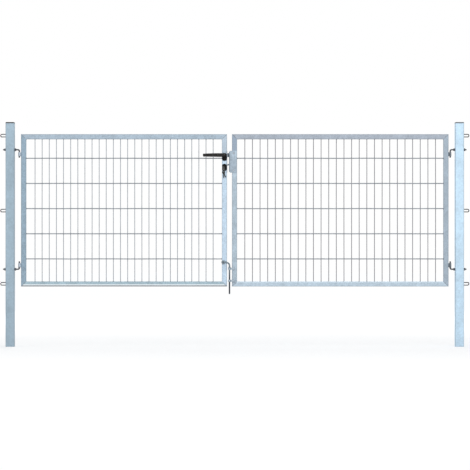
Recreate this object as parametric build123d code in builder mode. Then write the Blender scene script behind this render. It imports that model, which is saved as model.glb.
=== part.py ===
from build123d import *
import math
import os

os.makedirs("parts", exist_ok=True)

# Double gate, in millimetres: X runs along the gate, Y away from the viewer, Z up.
# The origin is on the left post's foot, in the middle of the wall that faces away from the gate.

# Posts
clear_width = 3500
post_size = 70
post_wall = 3
post_corner = 5
post_above_leaf = 87
cap_rim = 6
cap_crown = 2.5
cap_corner_left = 0.5
cap_skirt_depth = 14
cap_skirt_wall = 2.5
cap_fit = 0.2

# Loops on the outer faces of the posts, for fastening a fence
lowest_fence_eye = 499
middle_fence_eye = 1081
top_fence_eye_drop = 98
fence_eye_rod = 7
fence_eye_leg_pitch = 21
fence_eye_reach = 45
fence_eye_straight = 1
octagon_factor = 1.054

# Leaves
leaf_bottom = 478
leaf_height = 1210
left_leaf_width = 1636
hinge_gap = 52
leaf_gap = 40
tube_size = 40
tube_wall = 2
tube_corner = 4
vent_radius = 4
vent_from_end = 70

# Double-wire mesh: upright wires with a level wire in front of them and one behind
upright_count = 26
upright_wire = 6
left_edge_to_upright = 110
right_edge_to_upright = 102
level_count = 5
level_wire = 8
level_pitch = 200
top_to_level = 191
weld_depth = 0.9
hexagon_factor = 1.1

# Pintle hinges
upper_hinge_drop = 123
lower_hinge_rise = 137
pintle_rod = 12
pintle_bend = 12
pintle_reach = 63
pintle_overhang = 22
pin_to_leaf = 15
shank_hole_clearance = 0.5
running_clearance = 0.08
pin_chamfer = 1.5
collar_radius = 9
collar_height = 4
eye_radius = 9
eye_height = 32
eye_lug_width = 12
eye_below_bend = 8
seat_gap = 0.3
nut_across_flats = 19
nut_height = 10
washer_radius = 12
washer_height = 2
thread_clearance = 0.05

# Lock in the left leaf
spindle_below_top = 166
spindle_backset = 24
spindle_size = 8
spindle_clearance = 0.1
spindle_hole_radius = 6.3
case_back = 36
case_width = 18
case_above_spindle = 28
case_below_cylinder = 36
case_fit = 0.2
faceplate_width = 24
faceplate_margin = 6
faceplate_thickness = 2.5
latch_width = 14
latch_height = 32
latch_throw = 26
latch_bevel_length = 14
latch_bevel_depth = 10
latch_travel = 20
latch_fit = 0.4
latch_leg_start = 10
fork_gap = 13
fork_end_gap = 0.6

# Hook bolt, which swings on its own pin
hook_below_spindle = 92
hook_backset = 10
hook_width = 8
hook_pin_radius = 3
hook_hub_radius = 8
hook_behind_keep = 3.5
hook_nose_width = 9.5
hook_nose_angle = 5
hook_back_angle = 40
hook_arm_underside = 9.5
hook_root_near = 2.8
hook_root_far = 7.2
hook_fit = 0.4
hook_pocket_room = 1.5
hook_slot_below = 6
hook_slot_margin = 1

# Profile cylinder and its keys
cylinder_below_hook = 6
cylinder_backset = 28
cylinder_radius = 8.5
cylinder_leg_width = 10
cylinder_leg_depth = 24.5
cylinder_length = 63
cylinder_fit = 0.1
case_cylinder_fit = 0.2
stile_cylinder_fit = 0.5
key_thickness = 2.4
key_bow_radius = 11.5
key_blade_height = 7.6
key_blade_length = 34
key_blade_overlap = 1
key_stand_off = 0.5
key_hole_radius = 3.5
key_hole_from_centre = 5.5
key_bite = 2
key_bite_pitch = 5
key_first_bite = 3
key_fit = 0.15
keyway_depth = 34.5
spare_key_shift = 1.8
spare_key_lean = 24
ring_radius = 16
ring_wire = 1.8
ring_hang = 1.2

# Roses and levers
rose_width = 38
rose_height = 62
cylinder_rose_height = 56
rose_corner = 16
rose_thickness = 9
rose_edge = 2.5
lever_rose_drop = 15
lever_length = 167
lever_neck_radius = 9
lever_neck_inset = 2
lever_hub_radius = 13
lever_tip_half = 10
lever_tip_round = 6
lever_projection = 52
lever_thickness = 13
socket_from_front = 19.5
spindle_end_gap = 0.5
lever_edge = 3
lever_arch = 1.5

# Keep on the right leaf
keep_gap = 16
keep_thickness = 3
keep_above_spindle = 34
keep_below_cylinder = 42
keep_chamfer = 10
keep_depth = 34
keep_edge_inset = 3
latch_window_margin = 3.5
hook_window_width = 15
hook_sill = 8.8
hook_window_margin = 3
keep_screw_radius = 3.3
keep_screw_inset = 20
keep_screw_from_edge = 26

# Drop bolt on the right leaf
drop_rod = 12
drop_rod_from_leaf = 20
drop_rod_forward = 11
drop_rod_below_leaf = 60
drop_rod_bend_rise = 184
drop_handle_length = 56
drop_handle_rise = 18
drop_handle_bend = 26
drop_handle_fold = 15
drop_handle_return = 20
drop_fold_straight = 0.2
drop_tip_chamfer = 3
lower_guide_rise = 45
upper_guide_rise = 141
guide_height = 16
guide_radius = 11
guide_lug_reach = 22
guide_lug_depth = 14
stop_collar_radius = 9
stop_collar_height = 6

# Places that follow from the sizes above
left_post_x = (post_size - post_wall) / 2
right_post_x = left_post_x + clear_width + post_size
left_leaf_start = left_post_x + post_size / 2 + hinge_gap
left_leaf_end = left_leaf_start + left_leaf_width
right_leaf_start = left_leaf_end + leaf_gap
right_leaf_end = right_post_x - post_size / 2 - hinge_gap
leaf_top = leaf_bottom + leaf_height
post_height = leaf_top + post_above_leaf
fence_eye_heights = (lowest_fence_eye, middle_fence_eye, post_height - top_fence_eye_drop)
upper_hinge_height = leaf_top - upper_hinge_drop
lower_hinge_height = leaf_bottom + lower_hinge_rise
spindle_height = leaf_top - spindle_below_top
hook_height = spindle_height - hook_below_spindle
cylinder_height = hook_height - cylinder_below_hook
case_top = spindle_height + case_above_spindle
case_bottom = cylinder_height - case_below_cylinder
keep_top = spindle_height + keep_above_spindle
keep_bottom = cylinder_height - keep_below_cylinder
leaf_front = -tube_size / 2
pin_from_post = hinge_gap - pin_to_leaf
pin_radius = pintle_rod / 2
spindle_x = left_leaf_end - spindle_backset
hook_x = left_leaf_end - hook_backset
cylinder_x = left_leaf_end - cylinder_backset
lock_stile_x = left_leaf_end - tube_size / 2
keep_x = left_leaf_end + keep_gap
hook_throat_radius = hook_backset + keep_gap + keep_thickness + hook_behind_keep
hook_reach = hook_throat_radius + hook_nose_width
hook_window_top = math.sqrt(hook_reach**2 - (hook_backset + keep_gap) ** 2) + hook_window_margin
drop_x = right_leaf_start - drop_rod_from_leaf
drop_y = leaf_front - drop_rod_forward
drop_rod_bottom = leaf_bottom - drop_rod_below_leaf
drop_rod_bend_height = leaf_bottom + drop_rod_bend_rise
guide_heights = (leaf_bottom + lower_guide_rise, leaf_bottom + upper_guide_rise)


def write_piece(piece, name):
    piece.part.label = name
    export_step(piece.part, f"parts/{name}.step")


def upright_plane(x, y, z):
    """A plane facing the viewer, its own x along the gate and its own y up."""
    return Plane(origin=(x, y, z), x_dir=(1, 0, 0), z_dir=(0, -1, 0))


def square_tube(plane, length, size, wall, corner):
    with BuildPart() as tube:
        with BuildSketch(plane):
            RectangleRounded(size, size, corner)
            RectangleRounded(size - 2 * wall, size - 2 * wall, corner - wall, mode=Mode.SUBTRACT)
        extrude(amount=length)
    return tube


# Posts, drilled through for the hinge shanks
def gate_post(x, name):
    tube = square_tube(Plane.XY, post_height, post_size, post_wall, post_corner)
    with BuildPart() as post:
        add(tube.part.moved(Location((x, 0, 0))))
        for height in (lower_hinge_height, upper_hinge_height):
            with Locations(Plane(origin=(x, 0, height), z_dir=(1, 0, 0))):
                Cylinder(pin_radius + shank_hole_clearance, 2 * post_size, mode=Mode.SUBTRACT)
    write_piece(post, name)


def post_cap(x, name):
    inner = post_size - 2 * post_wall - 2 * cap_fit
    inner_corner = post_corner - post_wall
    with BuildPart() as cap:
        with BuildSketch(Plane.XY.offset(post_height)):
            with Locations((x, 0)):
                RectangleRounded(post_size, post_size, post_corner)
        extrude(amount=cap_rim + cap_crown)
        top_edges = cap.faces().sort_by(Axis.Z)[-1].edges()
        chamfer(top_edges, length=cap_crown, length2=post_corner - cap_corner_left)
        with BuildSketch(Plane.XY.offset(post_height)):
            with Locations((x, 0)):
                RectangleRounded(inner, inner, inner_corner)
                hollow = inner - 2 * cap_skirt_wall
                Rectangle(hollow, hollow, mode=Mode.SUBTRACT)
        extrude(amount=-cap_skirt_depth)
    write_piece(cap, name)


# Loops of bent bar welded to the post, side -1 on the left and 1 on the right
def fence_eyes(x, side, name):
    face = x + side * post_size / 2
    tip = face + side * (fence_eye_reach - fence_eye_rod / 2)
    half = fence_eye_leg_pitch / 2
    with BuildPart() as eyes:
        for height in fence_eye_heights:
            low = height - half
            high = height + half
            with BuildLine():
                bend = half - fence_eye_straight / 2
                FilletPolyline((face, 0, low), (tip, 0, low), (tip, 0, high), (face, 0, high), radius=bend)
            with BuildSketch(Plane(origin=(face, 0, low), z_dir=(side, 0, 0))):
                RegularPolygon(octagon_factor * fence_eye_rod / 2, 8)
            sweep()
    write_piece(eyes, name)


# Pintles: a threaded shank through the post, bent into a pin that points up or down
def pintle(x, side, height, turn, name):
    outer = x - side * (post_size / 2 + pintle_overhang)
    pin_x = x + side * (post_size / 2 + pin_from_post)
    with BuildPart() as rod:
        with BuildLine():
            tip = (pin_x, 0, height + turn * pintle_reach)
            FilletPolyline((outer, 0, height), (pin_x, 0, height), tip, radius=pintle_bend)
        with BuildSketch(Plane(origin=(outer, 0, height), z_dir=(side, 0, 0))):
            Circle(pin_radius)
        sweep()
        ends = rod.edges().filter_by(GeomType.CIRCLE).sort_by(Axis.Z)
        pin_end = ends[-1] if turn > 0 else ends[0]
        shank_end = rod.edges().filter_by(GeomType.CIRCLE).sort_by(Axis.X)
        chamfer([pin_end, shank_end[0] if side > 0 else shank_end[-1]], length=pin_chamfer)
        if turn > 0:
            with BuildSketch(Plane.XY.offset(height + pintle_bend)):
                with Locations((pin_x, 0)):
                    Circle(collar_radius)
            extrude(amount=collar_height)
    write_piece(rod, name)


# Nuts with washers on the shanks, one on each side of the post
def hinge_nuts(x, name):
    with BuildPart() as nuts:
        for height in (lower_hinge_height, upper_hinge_height):
            for side in (-1, 1):
                face = Plane(origin=(x + side * post_size / 2, 0, height), x_dir=(0, 1, 0), z_dir=(side, 0, 0))
                with BuildSketch(face):
                    Circle(washer_radius)
                    Circle(pin_radius + thread_clearance, mode=Mode.SUBTRACT)
                extrude(amount=washer_height)
                with BuildSketch(face.offset(washer_height)):
                    RegularPolygon(nut_across_flats / 2, 6, major_radius=False, rotation=30)
                    Circle(pin_radius + thread_clearance, mode=Mode.SUBTRACT)
                extrude(amount=nut_height)
    write_piece(nuts, name)


# Frame tubes, mitred at 45 degrees where they meet, the bottom ones vented for the zinc bath
def mitred_tube(plane, length, mitres):
    tube = square_tube(plane, length, tube_size, tube_wall, tube_corner)
    with BuildPart() as cut_tube:
        add(tube.part)
        for corner, inward in mitres:
            split(bisect_by=Plane(origin=corner, z_dir=inward), keep=Keep.TOP)
    return cut_tube


def left_stile(start):
    mitres = [((start, 0, leaf_bottom), (-1, 0, 1)), ((start, 0, leaf_top), (-1, 0, -1))]
    foot = Plane(origin=(start + tube_size / 2, 0, leaf_bottom), z_dir=(0, 0, 1))
    return mitred_tube(foot, leaf_height, mitres)


def right_stile(end):
    mitres = [((end, 0, leaf_bottom), (1, 0, 1)), ((end, 0, leaf_top), (1, 0, -1))]
    foot = Plane(origin=(end - tube_size / 2, 0, leaf_bottom), z_dir=(0, 0, 1))
    return mitred_tube(foot, leaf_height, mitres)


def top_rail(start, end):
    mitres = [((start, 0, leaf_top), (1, 0, 1)), ((end, 0, leaf_top), (-1, 0, 1))]
    butt = Plane(origin=(start, 0, leaf_top - tube_size / 2), x_dir=(0, 1, 0), z_dir=(1, 0, 0))
    return mitred_tube(butt, end - start, mitres)


def bottom_rail(start, end):
    mitres = [((start, 0, leaf_bottom), (1, 0, -1)), ((end, 0, leaf_bottom), (-1, 0, -1))]
    butt = Plane(origin=(start, 0, leaf_bottom + tube_size / 2), x_dir=(0, 1, 0), z_dir=(1, 0, 0))
    plain = mitred_tube(butt, end - start, mitres)
    with BuildPart() as rail:
        add(plain.part)
        with Locations((start + vent_from_end, 0, leaf_bottom), (end - vent_from_end, 0, leaf_bottom)):
            Cylinder(vent_radius, 2 * tube_corner, mode=Mode.SUBTRACT)
    return rail


# The mesh is the gate's finest work: hexagonal bars crossing corner to corner and fused there
def wire_mesh(start, end, edge_to_upright, name):
    low = leaf_bottom + tube_size
    high = leaf_top - tube_size
    first = start + edge_to_upright
    pitch = (end - start - 2 * edge_to_upright) / (upright_count - 1)
    upright_corner = hexagon_factor * upright_wire / 2
    level_corner = hexagon_factor * level_wire / 2
    level_offset = upright_corner + level_corner - weld_depth
    highest_level = leaf_top - top_to_level
    with BuildPart() as mesh:
        with BuildSketch(Plane.XY.offset(low)):
            with Locations([(first + index * pitch, 0) for index in range(upright_count)]):
                RegularPolygon(upright_corner, 6, rotation=30)
        extrude(amount=high - low)
        with BuildSketch(Plane.YZ.offset(start + tube_size)):
            for index in range(level_count):
                level = highest_level - index * level_pitch
                with Locations((-level_offset, level), (level_offset, level)):
                    RegularPolygon(level_corner, 6)
        extrude(amount=end - start - 2 * tube_size)
    write_piece(mesh, name)


# Eyes that turn on the pins, with a lug to the leaf's stile
def leaf_eye(edge, side, bottom, name):
    pin_x = edge - side * pin_to_leaf
    with BuildPart() as eye:
        with BuildSketch(Plane.XY.offset(bottom)):
            with Locations((pin_x, 0)):
                Circle(eye_radius)
            with Locations(((pin_x + edge) / 2, 0)):
                Rectangle(pin_to_leaf, eye_lug_width)
            with Locations((pin_x, 0)):
                Circle(pin_radius + running_clearance, mode=Mode.SUBTRACT)
        extrude(amount=eye_height)
    write_piece(eye, name)


gate_post(left_post_x, "left_post")
gate_post(right_post_x, "right_post")
post_cap(left_post_x, "left_post_cap")
post_cap(right_post_x, "right_post_cap")
fence_eyes(left_post_x, -1, "left_fence_eyes")
fence_eyes(right_post_x, 1, "right_fence_eyes")
pintle(left_post_x, 1, upper_hinge_height, -1, "left_upper_pintle")
pintle(left_post_x, 1, lower_hinge_height, 1, "left_lower_pintle")
pintle(right_post_x, -1, upper_hinge_height, -1, "right_upper_pintle")
pintle(right_post_x, -1, lower_hinge_height, 1, "right_lower_pintle")
hinge_nuts(left_post_x, "left_hinge_nuts")
hinge_nuts(right_post_x, "right_hinge_nuts")

# The lower eye sits on the pintle's collar, and the upper one hangs clear below its pintle's bend
lower_eye_bottom = lower_hinge_height + pintle_bend + collar_height + seat_gap
upper_eye_bottom = upper_hinge_height - pintle_bend - eye_below_bend - eye_height
leaf_eye(left_leaf_start, 1, upper_eye_bottom, "left_leaf_upper_eye")
leaf_eye(left_leaf_start, 1, lower_eye_bottom, "left_leaf_lower_eye")
leaf_eye(right_leaf_end, -1, upper_eye_bottom, "right_leaf_upper_eye")
leaf_eye(right_leaf_end, -1, lower_eye_bottom, "right_leaf_lower_eye")

write_piece(left_stile(left_leaf_start), "left_leaf_hinge_stile")
write_piece(top_rail(left_leaf_start, left_leaf_end), "left_leaf_top_rail")
write_piece(bottom_rail(left_leaf_start, left_leaf_end), "left_leaf_bottom_rail")
wire_mesh(left_leaf_start, left_leaf_end, left_edge_to_upright, "left_leaf_mesh")

write_piece(right_stile(right_leaf_end), "right_leaf_hinge_stile")
write_piece(left_stile(right_leaf_start), "right_leaf_meeting_stile")
write_piece(top_rail(right_leaf_start, right_leaf_end), "right_leaf_top_rail")
write_piece(bottom_rail(right_leaf_start, right_leaf_end), "right_leaf_bottom_rail")
wire_mesh(right_leaf_start, right_leaf_end, right_edge_to_upright, "right_leaf_mesh")


# Outline of the profile cylinder on the open sketch, grown by a fit for the holes that take it
cylinder_plane = upright_plane(cylinder_x, 0, cylinder_height)


def cylinder_profile(fit):
    leg = cylinder_leg_depth - cylinder_leg_width / 2
    Circle(cylinder_radius + fit)
    with Locations((0, -leg / 2)):
        Rectangle(cylinder_leg_width + 2 * fit, leg)
    with Locations((0, -leg)):
        Circle(cylinder_leg_width / 2 + fit)


# Lock stile: a slot in its edge for the lock case, and holes for the spindle and the cylinder
plain_lock_stile = right_stile(left_leaf_end)
case_middle = (case_bottom + case_top) / 2
case_height = case_top - case_bottom
with BuildPart() as left_leaf_lock_stile:
    add(plain_lock_stile.part)
    with Locations((left_leaf_end, 0, case_middle)):
        Box(4 * tube_wall, case_width + 2 * case_fit, case_height + 2 * case_fit, mode=Mode.SUBTRACT)
    with BuildSketch(upright_plane(spindle_x, 0, spindle_height)):
        Circle(spindle_hole_radius)
    extrude(amount=tube_size, both=True, mode=Mode.SUBTRACT)
    with BuildSketch(cylinder_plane):
        cylinder_profile(stile_cylinder_fit)
    extrude(amount=tube_size, both=True, mode=Mode.SUBTRACT)
write_piece(left_leaf_lock_stile, "left_leaf_lock_stile")

# Lock case, pocketed for the latch and for the hook's swing, with the pin that the hook turns on
with BuildPart() as lock_case:
    with Locations((left_leaf_end - case_back / 2, 0, case_middle)):
        Box(case_back, case_width, case_height)
    with Locations((left_leaf_end - case_back / 2, 0, spindle_height)):
        Box(case_back, latch_width + 2 * latch_fit, latch_height + 2 * latch_fit, mode=Mode.SUBTRACT)
    with BuildSketch(upright_plane(spindle_x, 0, spindle_height)):
        Circle(spindle_hole_radius)
    extrude(amount=case_width, both=True, mode=Mode.SUBTRACT)
    with BuildSketch(upright_plane(hook_x, 0, hook_height)):
        pocket_top = hook_reach + hook_pocket_room
        pocket_bottom = -hook_hub_radius - hook_pocket_room
        Circle(pocket_top)
        with Locations((0, (pocket_top + pocket_bottom) / 2)):
            Rectangle(2 * pocket_top, pocket_top - pocket_bottom, mode=Mode.INTERSECT)
    extrude(amount=hook_width / 2 + hook_fit, both=True, mode=Mode.SUBTRACT)
    with BuildSketch(cylinder_plane):
        cylinder_profile(case_cylinder_fit)
    extrude(amount=case_width, both=True, mode=Mode.SUBTRACT)
    with BuildSketch(upright_plane(hook_x, 0, hook_height)):
        Circle(hook_pin_radius)
    extrude(amount=case_width / 2, both=True)
write_piece(lock_case, "lock_case")

# Faceplate over the lock case, with a window for each bolt
with BuildPart() as lock_faceplate:
    with BuildSketch(Plane.YZ.offset(left_leaf_end)):
        with Locations((0, case_middle)):
            SlotOverall(case_height + 2 * faceplate_margin, faceplate_width, rotation=90)
        with Locations((0, spindle_height)):
            Rectangle(latch_width + 2 * latch_fit, latch_height + 2 * latch_fit, mode=Mode.SUBTRACT)
        hook_slot_above = hook_reach + hook_slot_margin
        with Locations((0, hook_height + (hook_slot_above - hook_slot_below) / 2)):
            Rectangle(hook_width + 2 * hook_fit, hook_slot_above + hook_slot_below, mode=Mode.SUBTRACT)
    extrude(amount=faceplate_thickness)
write_piece(lock_faceplate, "lock_faceplate")

# Latch bolt: a bevelled head and a fork that straddles the spindle
latch_tip = left_leaf_end + latch_throw
latch_tail = spindle_x + latch_leg_start
head_back = spindle_x + spindle_size / math.sqrt(2) + latch_travel + fork_end_gap
with BuildPart() as latch_bolt:
    with BuildSketch(Plane.XY.offset(spindle_height - latch_height / 2)):
        with BuildLine():
            Polyline(
                (latch_tail, -latch_width / 2),
                (latch_tip - latch_bevel_length, -latch_width / 2),
                (latch_tip, latch_bevel_depth - latch_width / 2),
                (latch_tip, latch_width / 2),
                (latch_tail, latch_width / 2),
                close=True,
            )
        make_face()
    extrude(amount=latch_height)
    with Locations(((latch_tail + head_back) / 2, 0, spindle_height)):
        Box(head_back - latch_tail, 2 * latch_width, fork_gap, mode=Mode.SUBTRACT)
write_piece(latch_bolt, "latch_bolt")

# Hook bolt: an arm over the keep's sill with a nose that drops behind it
with BuildPart() as hook_bolt:
    with BuildSketch(upright_plane(hook_x, 0, hook_height)):
        throat_top = math.degrees(math.asin(hook_arm_underside / hook_throat_radius))
        with BuildLine():
            back = CenterArc((0, 0), hook_reach, -hook_nose_angle, hook_nose_angle + hook_back_angle)
            throat = CenterArc((0, 0), hook_throat_radius, -hook_nose_angle, hook_nose_angle + throat_top)
            Line(back @ 0, throat @ 0)
            Polyline(
                back @ 1,
                (hook_hub_radius, 2 * hook_hub_radius),
                (-hook_root_near, hook_root_far),
                (hook_root_far, -hook_root_near),
                (2 * hook_hub_radius, hook_arm_underside),
                throat @ 1,
            )
        make_face()
        Circle(hook_hub_radius)
        Circle(hook_pin_radius + running_clearance, mode=Mode.SUBTRACT)
    extrude(amount=hook_width / 2, both=True)
write_piece(hook_bolt, "hook_bolt")


# Lever set: rose, lever and the square spindle through the lock
def flat_rose(centre_height, height):
    with BuildPart() as rose:
        with BuildSketch(upright_plane(lock_stile_x, leaf_front, centre_height)):
            RectangleRounded(rose_width, height, rose_corner)
        extrude(amount=rose_thickness)
        chamfer(rose.faces().sort_by(Axis.Y)[0].edges(), length=rose_edge)
    return rose


plain_lever_rose = flat_rose(spindle_height - lever_rose_drop, rose_height)
with BuildPart() as front_lever_rose:
    add(plain_lever_rose.part)
    with BuildSketch(upright_plane(spindle_x, leaf_front, spindle_height)):
        Circle(lever_neck_radius + running_clearance)
    extrude(amount=rose_thickness, mode=Mode.SUBTRACT)
with BuildPart() as back_lever_rose:
    mirror(front_lever_rose.part, about=Plane.XZ)
write_piece(front_lever_rose, "front_lever_rose")
write_piece(back_lever_rose, "back_lever_rose")

plain_cylinder_rose = flat_rose(cylinder_height, cylinder_rose_height)
with BuildPart() as front_cylinder_rose:
    add(plain_cylinder_rose.part)
    with BuildSketch(cylinder_plane):
        cylinder_profile(cylinder_fit)
    extrude(amount=2 * tube_size, both=True, mode=Mode.SUBTRACT)
with BuildPart() as back_cylinder_rose:
    mirror(front_cylinder_rose.part, about=Plane.XZ)
write_piece(front_cylinder_rose, "front_cylinder_rose")
write_piece(back_cylinder_rose, "back_cylinder_rose")

lever_face = tube_size / 2 + lever_projection
neck_start = tube_size / 2 + lever_neck_inset
with BuildPart() as front_lever:
    arm_back = upright_plane(spindle_x, lever_thickness - lever_face, spindle_height)
    with BuildSketch(arm_back):
        tip = lever_length - lever_tip_round
        with BuildLine():
            top = ThreePointArc(
                (0, lever_hub_radius),
                (-tip / 2, (lever_hub_radius + lever_tip_half) / 2 + lever_arch),
                (-tip, lever_tip_half),
            )
            inner = lever_tip_half - lever_tip_round
            upper_round = RadiusArc(top @ 1, (-lever_length, inner), -lever_tip_round)
            end = Line(upper_round @ 1, (-lever_length, -inner))
            lower_round = RadiusArc(end @ 1, (-tip, -lever_tip_half), -lever_tip_round)
            bottom = Line(lower_round @ 1, (0, -lever_hub_radius))
            ThreePointArc(bottom @ 1, (lever_hub_radius, 0), top @ 0)
        make_face()
    extrude(amount=lever_thickness)
    fillet(front_lever.faces().sort_by(Axis.Y)[0].edges(), radius=lever_edge)
    with BuildSketch(upright_plane(spindle_x, -neck_start, spindle_height)):
        Circle(lever_neck_radius)
    extrude(amount=lever_face - lever_thickness / 2 - neck_start)
    socket = spindle_size + 2 * spindle_clearance
    with BuildSketch(upright_plane(spindle_x, -neck_start, spindle_height)):
        Rectangle(socket, socket)
    extrude(amount=lever_face - socket_from_front - neck_start, mode=Mode.SUBTRACT)
with BuildPart() as back_lever:
    mirror(front_lever.part, about=Plane.XZ)
write_piece(front_lever, "front_lever")
write_piece(back_lever, "back_lever")

with BuildPart() as lever_spindle:
    with Locations((spindle_x, 0, spindle_height)):
        Box(spindle_size, 2 * (lever_face - socket_from_front - spindle_end_gap), spindle_size)
write_piece(lever_spindle, "lever_spindle")

# Profile cylinder, with a keyway in its front
keyway_end = cylinder_length / 2
with BuildPart() as lock_cylinder:
    with BuildSketch(cylinder_plane):
        cylinder_profile(0)
    extrude(amount=cylinder_length / 2, both=True)
    with Locations((cylinder_x, -keyway_end, cylinder_height)):
        Box(key_thickness + 2 * key_fit, 2 * keyway_depth, key_blade_height + 2 * key_fit, mode=Mode.SUBTRACT)
write_piece(lock_cylinder, "lock_cylinder")


# A key drawn with its bow's centre at the plane's origin and its blade along the plane's own -y
def key_outline(with_bites):
    blade_middle = -key_bow_radius - key_blade_length / 2 + key_blade_overlap
    Circle(key_bow_radius)
    with Locations((0, blade_middle)):
        Rectangle(key_blade_height, key_blade_length)
    with Locations((0, key_hole_from_centre)):
        Circle(key_hole_radius, mode=Mode.SUBTRACT)
    if with_bites:
        for step in range(4):
            from_middle = key_first_bite - key_bite_pitch * step
            with Locations((key_blade_height / 2, -key_bow_radius - key_blade_length / 2 + from_middle)):
                RegularPolygon(key_bite, 3, rotation=180, mode=Mode.SUBTRACT)


# The key in the lock stands upright, so its bow shows its edge to the viewer
bow_y = -keyway_end - key_bow_radius - key_stand_off
with BuildPart() as key:
    bow_plane = Plane(origin=(cylinder_x, bow_y, cylinder_height), x_dir=(0, 0, 1), z_dir=(1, 0, 0))
    with BuildSketch(bow_plane):
        key_outline(False)
    extrude(amount=key_thickness / 2, both=True)
write_piece(key, "key")

# The ring hangs in the bow's hole, turned half way between the two keys' planes
hole_y = bow_y - key_hole_from_centre
ring_centre = (cylinder_x, hole_y, cylinder_height - ring_radius - ring_hang)
ring_plane = Plane(origin=ring_centre, x_dir=(0, 0, 1), z_dir=(1, -1, 0))
with BuildPart() as key_ring:
    with BuildSketch(Plane(origin=ring_centre, x_dir=ring_plane.x_dir, z_dir=ring_plane.y_dir)):
        with Locations((ring_radius, 0)):
            RegularPolygon(hexagon_factor * ring_wire / 2, 6)
    revolve(axis=Axis(ring_centre, ring_plane.z_dir), revolution_arc=360)
write_piece(key_ring, "key_ring")

# Two spare keys hang side by side at the bottom of the ring
with BuildPart() as spare_keys:
    for shift, lean in ((spare_key_shift, 0), (-spare_key_shift, spare_key_lean)):
        rise = ring_radius - math.sqrt(ring_radius**2 - 2 * shift**2)
        hang = ring_centre[2] - ring_radius + rise - ring_hang
        hole = Location((cylinder_x + shift, hole_y + shift, hang))
        turned = hole * Location((0, 0, 0), (0, -lean, 0))
        face = Plane(turned * Location((0, 0, -key_hole_from_centre)))
        with BuildSketch(Plane(origin=face.origin, x_dir=face.x_dir, z_dir=(0, -1, 0))):
            key_outline(True)
        extrude(amount=key_thickness / 2, both=True)
write_piece(spare_keys, "spare_keys")

# Keep: an angle with its flange on the right leaf's stile and its web across the gap
keep_height = keep_top - keep_bottom
keep_middle = (keep_top + keep_bottom) / 2
flange_width = right_leaf_start + tube_size - keep_edge_inset - keep_x
with BuildPart() as keep_plate:
    with BuildSketch(upright_plane(keep_x + flange_width / 2, leaf_front, keep_middle)) as flange:
        Rectangle(flange_width, keep_height)
        chamfer(flange.vertices().group_by(Axis.X)[0], length=keep_chamfer)
        for height in (keep_screw_inset - keep_height / 2, keep_height / 2 - keep_screw_inset):
            with Locations((flange_width / 2 - keep_screw_from_edge + keep_edge_inset, height)):
                Circle(keep_screw_radius, mode=Mode.SUBTRACT)
    extrude(amount=keep_thickness)
    with BuildSketch(Plane.YZ.offset(keep_x)):
        with Locations((leaf_front + keep_depth / 2, keep_middle)):
            Rectangle(keep_depth, keep_height - 2 * keep_chamfer)
        with Locations((0, spindle_height)):
            width = latch_width + 2 * latch_window_margin
            Rectangle(width, latch_height + 2 * latch_window_margin, mode=Mode.SUBTRACT)
        with Locations((0, hook_height + (hook_sill + hook_window_top) / 2)):
            Rectangle(hook_window_width, hook_window_top - hook_sill, mode=Mode.SUBTRACT)
    extrude(amount=keep_thickness)
write_piece(keep_plate, "keep_plate")

# Guides that hold the drop bolt in front of the gap, each with a lug on the stile's front
with BuildPart() as drop_bolt_guides:
    for height in guide_heights:
        with BuildSketch(Plane.XY.offset(height - guide_height / 2)):
            with Locations((drop_x, drop_y)):
                Circle(guide_radius)
            lug_width = right_leaf_start + guide_lug_reach - drop_x
            with Locations((drop_x + lug_width / 2, leaf_front - guide_lug_depth / 2)):
                Rectangle(lug_width, guide_lug_depth)
            with Locations((drop_x, drop_y)):
                Circle(drop_rod / 2 + running_clearance, mode=Mode.SUBTRACT)
        extrude(amount=guide_height)
write_piece(drop_bolt_guides, "drop_bolt_guides")

# Drop bolt: one bent rod, its handle laid to the left and folded back under itself
with BuildPart() as drop_bolt:
    slope = math.atan2(drop_handle_rise, drop_handle_length)
    along = (-math.cos(slope), math.sin(slope))
    handle_x = drop_x - drop_handle_length
    handle_z = drop_rod_bend_height + drop_handle_rise
    fold_x = handle_x - drop_handle_fold * math.sin(slope)
    fold_z = handle_z - drop_handle_fold * math.cos(slope)
    return_x = fold_x - drop_handle_return * along[0]
    return_z = fold_z - drop_handle_return * along[1]
    fold_bend = (drop_handle_fold - drop_fold_straight) / 2
    with BuildLine():
        FilletPolyline(
            (drop_x, drop_y, drop_rod_bottom),
            (drop_x, drop_y, drop_rod_bend_height),
            (handle_x, drop_y, handle_z),
            (fold_x, drop_y, fold_z),
            (return_x, drop_y, return_z),
            radius=[drop_handle_bend, fold_bend, fold_bend],
        )
    with BuildSketch(Plane(origin=(drop_x, drop_y, drop_rod_bottom), z_dir=(0, 0, 1))):
        Circle(drop_rod / 2)
    sweep()
    chamfer(drop_bolt.edges().filter_by(GeomType.CIRCLE).sort_by(Axis.Z)[0], length=drop_tip_chamfer)
    collar_bottom = max(guide_heights) + guide_height / 2 + seat_gap
    with BuildSketch(Plane.XY.offset(collar_bottom)):
        with Locations((drop_x, drop_y)):
            Circle(stop_collar_radius)
    extrude(amount=stop_collar_height)
write_piece(drop_bolt, "drop_bolt")
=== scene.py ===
import bpy
import bmesh
import math
import random
from mathutils import Matrix, Vector


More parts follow.
